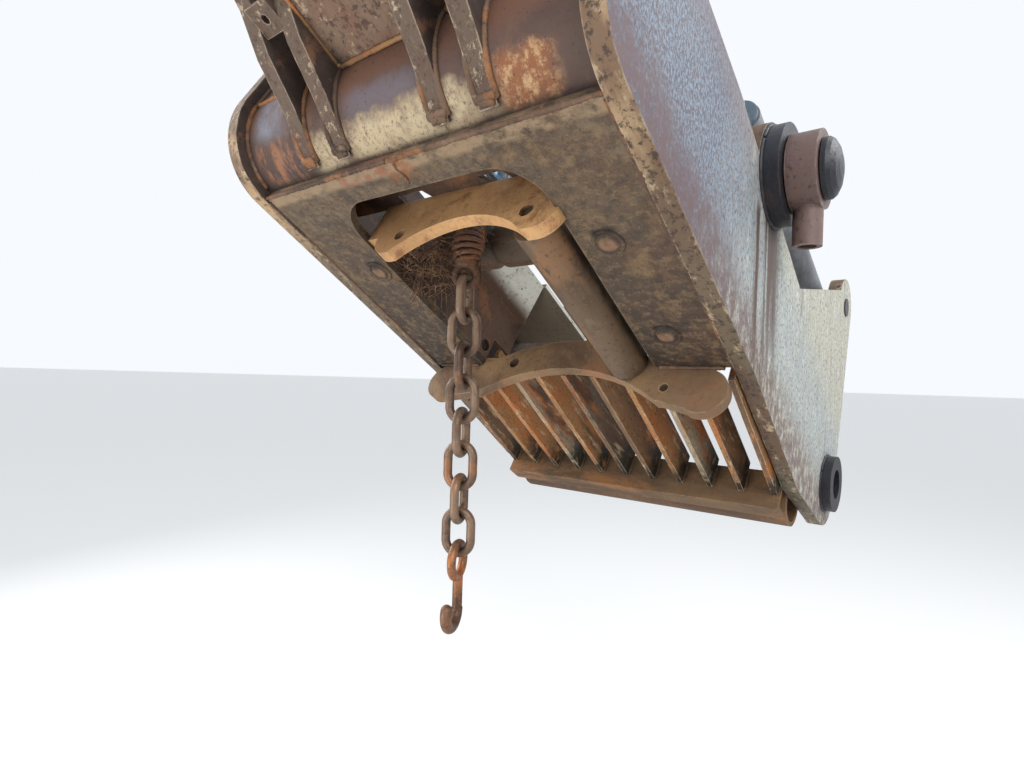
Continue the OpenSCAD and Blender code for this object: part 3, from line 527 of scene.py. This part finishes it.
FINISHES = {
    "side_plate": PLATE, "heel_bracket": PLATE, "pivot_collars": BOSS, "cross_member": CROSS,
    "end_plate": CROSS, "boom_ears": EARS, "ear_strap": EARS, "fairlead_plate": FAIRLEAD,
    "housing_walls": HOUSING, "housing_flanges": FLANGE, "guide_plate_upper": GUIDE_UP,
    "guide_plate_lower": GUIDE_LOW,
    "side_roller": ROLLER, "top_roller": OVER_ROLLER, "grille_bars": BARS,
    "grille_crossbar": CROSSBAR, "torsion_tube": TUBE, "lift_eye": LIFT_EYE, "lift": BOSS,
    "base_pin": BOSS, "boom_base": BARREL, "boom_barrel": BARREL, "boom_gland": GLAND,
    "boom_rod": ROD, "winch_rope": ROPE, "rope": ROPE, "chain_link": CHAIN, "chain_hook": HOOK,
}
for name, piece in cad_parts.items():
    finish = next(f for start, f in FINISHES.items() if name.startswith(start))
    piece.data.materials.clear()
    piece.data.materials.append(finish)


# Added pieces
def piece_from(bm, name, finish, body="frame", smooth=True):
    bmesh.ops.recalc_face_normals(bm, faces=bm.faces)
    mesh = bpy.data.meshes.new(name)
    bm.to_mesh(mesh)
    bm.free()
    if smooth:
        mesh.shade_smooth()
    mesh.materials.append(finish)
    made = bpy.data.objects.new(name, mesh)
    bpy.context.collection.objects.link(made)
    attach(made, body)
    return made


def sweep(bm, path, radii, sides=8, closed_ends=True):
    """Carries a ring along a path by extrusion, its radius as given at each point."""
    ring = bmesh.ops.create_circle(bm, segments=sides, radius=1.0)["verts"]
    edges = list({e for v in ring for e in v.link_edges})
    first = list(edges)
    direction = (path[1] - path[0]).normalized()
    side = direction.orthogonal().normalized()
    for k, point in enumerate(path):
        if k:
            grown = bmesh.ops.extrude_edge_only(bm, edges=edges)["geom"]
            edges = [g for g in grown if isinstance(g, bmesh.types.BMEdge)]
            ring = [g for g in grown if isinstance(g, bmesh.types.BMVert)]
            ahead = path[min(k + 1, len(path) - 1)] - path[k - 1]
            direction = ahead.normalized()
            side = (side - direction * side.dot(direction)).normalized()
        other = direction.cross(side)
        for j, v in enumerate(ring):
            a = 2 * math.pi * j / sides
            v.co = point + (side * math.cos(a) + other * math.sin(a)) * radii[k]
    if closed_ends:
        bmesh.ops.contextual_create(bm, geom=first)
        bmesh.ops.contextual_create(bm, geom=edges)


# Weld beads
WELD_STEP = 0.006


def bead(bm, corners, radius):
    """A hand-laid weld: an uneven cord of ripples along a line."""
    path, radii = [], []
    for a, b in zip(corners, corners[1:]):
        count = max(2, int((b - a).length / WELD_STEP))
        for k in range(count):
            path.append(a.lerp(b, k / count))
    path.append(corners[-1])
    for k, point in enumerate(path):
        wobble = noise.noise(point * 60)
        ripple = 1.0 if k % 2 else 0.84
        radii.append(radius * ripple * (1 + 0.25 * wobble))
        path[k] = point + Vector((0, 0, 1)) * 0.001 * noise.noise(point * 90)
    sweep(bm, path, radii, 7)


def line(*points):
    return [arch(*p) for p in points]


def arc(s, n, y, radius, start, end, steps=24):
    """Points round a circle in the plane of a side plate, angles in degrees from the legs' line."""
    turns = [math.radians(start + (end - start) * k / steps) for k in range(steps + 1)]
    return [arch(s + radius * math.cos(t), n + radius * math.sin(t), y) for t in turns]


INNER = 0.460
OUTER = 0.500
FACE_N = 0.004
BEND_S, BEND_N, BEND_R = 1.198, 0.165, 0.137
END_S = BEND_S + BEND_R
GUIDE_LOW_S = 0.510
GUIDE_HIGH_S = 1.020

# Seams of the fairlead plate; the long one has cracked near its middle
bm = bmesh.new()
for side in (-1, 1):
    edge = side * (INNER - 0.001)
    bead(bm, line((0.53, FACE_N + 0.001, edge), (1.19, FACE_N + 0.001, edge)), 0.006)
    bead(bm, line((GUIDE_LOW_S + 0.001, 0.002, side * 0.285), (GUIDE_LOW_S + 0.001, 0.002, side * 0.44)),
         0.006)
    bead(bm, arc(BEND_S, BEND_N, edge, BEND_R + 0.001, -84, 0) + line((END_S + 0.001, 0.328, edge)),
         0.007)
for ends in ((-INNER, -0.016), (0.024, INNER)):
    bead(bm, line(*((1.2, FACE_N + 0.002, y) for y in ends)), 0.0055)
piece_from(bm, "plate_welds", WELD)

# Run of weld across the head of the bend
bm = bmesh.new()
bead(bm, line((END_S, BEND_N, -INNER + 0.01), (END_S, BEND_N, INNER - 0.01)), 0.007)
piece_from(bm, "bend_seam", TAN_WELD)

bm = bmesh.new()
bead(bm, line((1.199, FACE_N, 0.004), (1.180, FACE_N + 0.001, 0.010), (1.160, FACE_N, 0.002),
              (1.142, FACE_N, 0.008)), 0.0035)
bead(bm, line((1.2, FACE_N + 0.001, -0.014), (1.197, FACE_N, 0.002), (1.2, FACE_N + 0.002, 0.020)),
     0.0045)
piece_from(bm, "cracked_seam", FRESH_RUST)

# Fillets on both faces of each boom ear
EAR_FACES = [side * (middle + half) for side in (-1, 1) for middle in (0.140, 0.250)
             for half in (-0.021, 0.021)]
bm = bmesh.new()
for y in EAR_FACES:
    bead(bm, arc(BEND_S, BEND_N, y, BEND_R + 0.001, -76, 0) + line((END_S + 0.001, 0.320, y)), 0.0065)
for low, high in zip(EAR_FACES[::2], EAR_FACES[1::2]):
    for angle, spread in ((-77, 0.016), (-73, 0.022)):
        a, b = (arc(BEND_S, BEND_N, y, BEND_R + 0.002, angle, angle, 1)[0]
                for y in (min(low, high) + 0.021 - spread, max(low, high) - 0.021 + spread))
        bead(bm, [a, b], 0.009)
piece_from(bm, "ear_welds", WELD)

# Web between the two inner ears, from the head of the bend upwards
WEB_N, WEB_T, WEB_TOP = 0.147, 0.012, 0.150
INNER_CHEEK = 0.119


def slab(bm, outline, n, thick):
    """A plate that lies square to the n axis, from its outline of (s, y) corners."""
    face = bm.faces.new([bm.verts.new(arch(s, n, y)) for s, y in outline])
    grown = bmesh.ops.extrude_face_region(bm, geom=[face])["geom"]
    bmesh.ops.translate(bm, vec=SQUARE * thick,
                        verts=[g for g in grown if isinstance(g, bmesh.types.BMVert)])


bm = bmesh.new()
slab(bm, [(END_S + 0.0005, -INNER_CHEEK + 0.0005), (END_S + WEB_TOP, -INNER_CHEEK + 0.0005),
          (END_S + WEB_TOP, INNER_CHEEK - 0.0005), (END_S + 0.0005, INNER_CHEEK - 0.0005)],
     WEB_N, WEB_T)
piece_from(bm, "ear_web", WEB, smooth=False)
bm = bmesh.new()
bead(bm, line((END_S + 0.002, WEB_N - 0.001, -INNER_CHEEK), (END_S + 0.002, WEB_N - 0.001, INNER_CHEEK)),
     0.007)
for y in (-INNER_CHEEK, INNER_CHEEK):
    bead(bm, line((END_S, WEB_N - 0.001, y), (END_S + WEB_TOP, WEB_N - 0.001, y)), 0.005)
piece_from(bm, "web_seams", TAN_WELD)

# Rings where the collars meet the side plates
bm = bmesh.new()
for side in (-1, 1):
    bead(bm, arc(0.651, 0.431, side * (OUTER + 0.001), 0.1125, 0, 357, 72), 0.006)
    for y in (OUTER + 0.001, INNER - 0.001):
        bead(bm, arc(-0.300, 0.125, side * y, 0.0855, 0, 356, 60), 0.005)
piece_from(bm, "collar_welds", BOSS)

# Backing strip over the upper guide plate, with two slots cut along the guide's far edge
STRIP_N, STRIP_T = 0.1262, 0.012
STRIP_LOW, SLOT_TOP, STRIP_HIGH = 1.010, 1.040, 1.296
SLOTS = [(-0.122, -0.063, 0.030), (0.116, 0.214, 0.004)]
bm = bmesh.new()
outline = [(STRIP_HIGH, -INNER + 0.003), (STRIP_LOW, -INNER + 0.003)]
for right_foot, left_foot, skew in SLOTS:
    outline += [(STRIP_LOW, right_foot), (SLOT_TOP, right_foot + 0.022),
                (SLOT_TOP, left_foot + skew), (STRIP_LOW, left_foot)]
outline += [(STRIP_LOW, INNER - 0.003), (STRIP_HIGH, INNER - 0.003)]
slab(bm, outline, STRIP_N, STRIP_T)
piece_from(bm, "backing_strip", HOUSING, smooth=False)

# Grille welds: a blob each side of each bar's foot, and tacks under the lower guide plate
BAR_COUNT, BAR_T, BAR_GAP = 11, 0.015, 0.005
BAR_PITCH = (2 * (INNER - BAR_GAP) - BAR_T) / (BAR_COUNT - 1)
bm = bmesh.new()
for k in range(BAR_COUNT):
    middle = -INNER + BAR_GAP + BAR_T / 2 + k * BAR_PITCH
    for side in (-1, 1):
        y = middle + side * (BAR_T / 2 + 0.001)
        bead(bm, line((0.002, -0.064, y), (0.002, 0.003, y)), 0.004)
        if k % 3:
            bead(bm, line((0.478, 0.0, y), (0.478, 0.055, y)), 0.0035)
for side in (-1, 1):
    edge = side * (INNER - 0.001)
    bead(bm, line((0.001, -0.038, edge), (0.001, 0.004, edge)), 0.006)
    bead(bm, line((-0.013, -0.103, side * (INNER - 0.004)), (-0.058, -0.103, side * (INNER - 0.004))),
         0.003)
piece_from(bm, "grille_welds", CROSSBAR)


# Winch rope: six strands laid round a core, over the top roller and down to the knot
ROPE_R = 0.0125
ROPE_Y = 0.115
ROLLER_AT = arch(0.780, 0.208, ROPE_Y)
OVER_ROLLER_R = 0.0668
DROP_R = 0.132
KNOT_TOP = ROLLER_AT.z + OVER_ROLLER_R - DROP_R
KNOT_LOW = 0.5717
LEAD_LENGTH, LEAD_DIP = 0.230, math.radians(12)
STEP = 0.004


def rope_route():
    """The rope's middle line from the lead's far end, over the roller and down to the knot."""
    points = []
    off = Vector((math.sin(LEAD_DIP), 0, math.cos(LEAD_DIP))) * OVER_ROLLER_R
    lead = Vector((math.cos(LEAD_DIP), 0, -math.sin(LEAD_DIP)))
    for k in range(int(LEAD_LENGTH / STEP) + 1):
        points.append(ROLLER_AT + off + lead * (LEAD_LENGTH - k * STEP))
    points[-1] = ROLLER_AT + off
    for k in range(1, 4):
        t = LEAD_DIP * (1 - k / 3)
        points.append(ROLLER_AT + Vector((math.sin(t), 0, math.cos(t))) * OVER_ROLLER_R)
    middle = Vector((ROLLER_AT.x, ROPE_Y, KNOT_TOP))
    count = int(DROP_R * math.pi / 2 / STEP)
    for k in range(1, count + 1):
        t = math.pi / 2 * k / count
        points.append(middle + Vector((-math.sin(t), 0, math.cos(t))) * DROP_R)
    return points


def wound(route, arm, lay, phase):
    """A line that winds round a route at the distance `arm`, one turn in each `lay` metres."""
    out = []
    travelled = 0.0
    side = LEFT.copy()
    for k, point in enumerate(route):
        ahead = (route[min(k + 1, len(route) - 1)] - route[max(k - 1, 0)]).normalized()
        if k:
            travelled += (point - route[k - 1]).length
        side = (side - ahead * side.dot(ahead)).normalized()
        t = phase + 2 * math.pi * travelled / lay
        reach = arm(travelled) if callable(arm) else arm
        out.append(point + (side * math.cos(t) + ahead.cross(side) * math.sin(t)) * reach)
    return out


route = rope_route()
bm = bmesh.new()
for strand in range(6):
    path = wound(route, ROPE_R * 0.64, 0.150, strand * math.pi / 3)
    sweep(bm, path, [ROPE_R * 0.37] * len(path), 8)
sweep(bm, route, [ROPE_R * 0.45] * len(route), 6)
rope = piece_from(bm, "stranded_rope", ROPE)
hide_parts("winch_rope", "rope_drop")

# The knot: turns of wire rope hauled tight round the drop, with broken wires standing out of it
knot_route = [p for p in route if p.z < 0.682 and p.x < ROLLER_AT.x - 0.05]
knot_route += [Vector((ROLLER_AT.x - DROP_R, ROPE_Y, KNOT_TOP - 0.004 * k))
               for k in range(1, int((KNOT_TOP - KNOT_LOW) / 0.004) + 1)]


def resampled(route, step):
    out = [route[0]]
    for a, b in zip(route, route[1:]):
        pieces = max(1, round((b - a).length / step))
        out += [a.lerp(b, k / pieces) for k in range(1, pieces + 1)]
    return out


bm = bmesh.new()
fine = resampled(knot_route, 0.0004)
length = sum((b - a).length for a, b in zip(fine, fine[1:]))


def knot_arm(travelled):
    """The knot swells in its middle and draws in at both ends."""
    along = min(1.0, travelled / length)
    return 0.0175 + 0.0175 * math.sin(math.pi * along ** 1.25) ** 0.8


for turn in range(2):
    path = wound(fine, knot_arm, 0.026, turn * math.pi)
    path = [p + Vector((noise.noise(p * 50), noise.noise(p * 50 + LEFT), 0)) * 0.004 for p in path]
    path = path[:: 5]
    sweep(bm, path, [0.0066 * (1 + 0.14 * noise.noise(p * 80)) for p in path], 8)
knot = piece_from(bm, "knot_turns", ROPE)


def wire(bm, start, heading, length, radius, curl):
    """A springy broken wire that bends as it goes."""
    path = [start]
    direction = heading.normalized()
    bend = Vector([random.uniform(-1, 1) for _ in range(3)]) * curl
    for _ in range(7):
        direction = (direction + bend).normalized()
        path.append(path[-1] + direction * length / 7)
    sweep(bm, path, [radius] * len(path), 4)


bm = bmesh.new()
knot_count = len(knot_route)
for k in range(110):
    start = knot_route[int(knot_count * random.random() ** 1.2) % knot_count]
    heading = Vector((random.uniform(-1.2, 0.6), random.uniform(-1, 1), random.uniform(-0.9, 1.1)))
    wire(bm, start + heading.normalized() * 0.020, heading, random.uniform(0.02, 0.07), 0.0006, 0.16)
for k in range(16):
    start = knot_route[-1] + Vector((0.030, random.uniform(-0.022, 0.012), random.uniform(0.0, 0.06)))
    wire(bm, start, Vector((random.uniform(-0.15, 0.1), 0, -1)), random.uniform(0.04, 0.08), 0.0011,
         0.04)
frayed = piece_from(bm, "frayed_wires", STRAW)

# Straw and old wire caught between the knot and the housing's left wall
bm = bmesh.new()
for k in range(380):
    t = random.random() ** 1.2
    start = arch(random.gauss(0.880, 0.034), random.gauss(0.060, 0.028), 0.268 - 0.125 * t)
    heading = LEFT * random.uniform(-1.3, 1.0) + ALONG * random.uniform(-1.0, 1.0) \
        + SQUARE * random.uniform(-0.7, 0.6)
    wire(bm, start, heading, random.uniform(0.03, 0.085), random.uniform(0.0004, 0.0010), 0.15)
for k in range(24):
    start = arch(random.uniform(0.84, 0.93), random.uniform(0.02, 0.07), random.uniform(0.17, 0.26))
    wire(bm, start, Vector((-0.2, random.uniform(-0.5, 0.3), -1)), random.uniform(0.06, 0.13), 0.0007,
         0.05)
piece_from(bm, "straw_nest", STRAW)


# Plugs in the fairlead plate: a countersunk screw head with a round socket, in a raised ring
def lathe(bm, profile, place, steps=28):
    """Turns an outline of (radius, height) points about z and puts it in place."""
    made = [bm.verts.new((r, 0, z)) for r, z in profile]
    edges = [bm.edges.new(pair) for pair in zip(made, made[1:])]
    grown = bmesh.ops.spin(bm, geom=made + edges, cent=(0, 0, 0), axis=(0, 0, 1),
                           angle=2 * math.pi, steps=steps, use_merge=True)
    verts = {v for g in grown["geom_last"] if isinstance(g, bmesh.types.BMVert) for v in [g]}
    verts |= set(made)
    seen_verts = set()
    stack = list(verts)
    while stack:
        v = stack.pop()
        if v in seen_verts:
            continue
        seen_verts.add(v)
        stack += [e.other_vert(v) for e in v.link_edges]
    bmesh.ops.transform(bm, matrix=place, verts=list(seen_verts))
    bmesh.ops.remove_doubles(bm, verts=list(seen_verts), dist=0.00002)


bm = bmesh.new()
for s, y in PLUGS:
    outline = [(0, 0.0005), (0.006, 0.0005), (0.009, 0.0045), (0.014, 0.0065), (0.019, 0.0065),
               (0.021, 0.001), (0.025, 0.001), (0.027, 0.0045), (0.031, 0.0045), (0.033, 0.002),
               (0.034, -0.003)]
    lathe(bm, outline, arch_matrix(s, FACE_N, y, -SQUARE, ALONG))
piece_from(bm, "fairlead_plugs", FAIRLEAD)


# Floor and light
GROUND = -1.308
bm = bmesh.new()
bmesh.ops.create_grid(bm, x_segments=1, y_segments=1, size=400)
bmesh.ops.translate(bm, verts=bm.verts, vec=(0, 0, GROUND))
floor_mesh = bpy.data.meshes.new("floor")
bm.to_mesh(floor_mesh)
bm.free()
floor = bpy.data.objects.new("floor", floor_mesh)
bpy.context.collection.objects.link(floor)
pale = bpy.data.materials.new("pale_floor")
pale.use_nodes = True
shader = pale.node_tree.nodes["Principled BSDF"]
shader.inputs["Base Color"].default_value = (0.80, 0.80, 0.79, 1)
shader.inputs["Roughness"].default_value = 0.9
shader.inputs["Emission Color"].default_value = (0.93, 0.96, 1.0, 1)
camera_ray = pale.node_tree.nodes.new("ShaderNodeLightPath").outputs["Is Camera Ray"]
glow = pale.node_tree.nodes.new("ShaderNodeMapRange")
glow.inputs["To Max"].default_value = 0.28
pale.node_tree.links.new(camera_ray, glow.inputs["Value"])
pale.node_tree.links.new(glow.outputs[0], shader.inputs["Emission Strength"])
floor_mesh.materials.append(pale)

world = bpy.data.worlds.new("studio")
bpy.context.scene.world = world
world.use_nodes = True
nodes = world.node_tree.nodes
background = nodes["Background"]
background.inputs["Color"].default_value = (0.93, 0.96, 1.0, 1)
path = nodes.new("ShaderNodeLightPath")
seen = nodes.new("ShaderNodeMath")
seen.operation = "MAXIMUM"
strength = nodes.new("ShaderNodeMapRange")
strength.inputs["To Min"].default_value = 0.55
strength.inputs["To Max"].default_value = 1.0
links = world.node_tree.links
links.new(path.outputs["Is Camera Ray"], seen.inputs[0])
links.new(path.outputs["Is Glossy Ray"], seen.inputs[1])
links.new(seen.outputs[0], strength.inputs["Value"])
links.new(strength.outputs[0], background.inputs["Strength"])


def lamp(name, at, aim, size, power):
    light = bpy.data.lights.new(name, "AREA")
    light.size = size
    light.energy = power
    made = bpy.data.objects.new(name, light)
    made.location = at
    made.rotation_euler = (Vector(aim) - Vector(at)).to_track_quat("-Z", "Y").to_euler()
    bpy.context.collection.objects.link(made)


lamp("key", (-3.6, -4.2, 3.2), (-0.8, 0, 0.6), 3.0, 190)
lamp("under", (-3.4, 1.0, -0.9), (-0.8, 0, 0.6), 2.4, 60)
lamp("rim", (2.0, -3.0, 3.6), (-0.4, 0, 0.6), 2.5, 90)
lamp("left", (-1.5, 4.0, 2.0), (-0.6, 0, 0.6), 2.5, 90)

bpy.context.scene.view_settings.view_transform = "Standard"
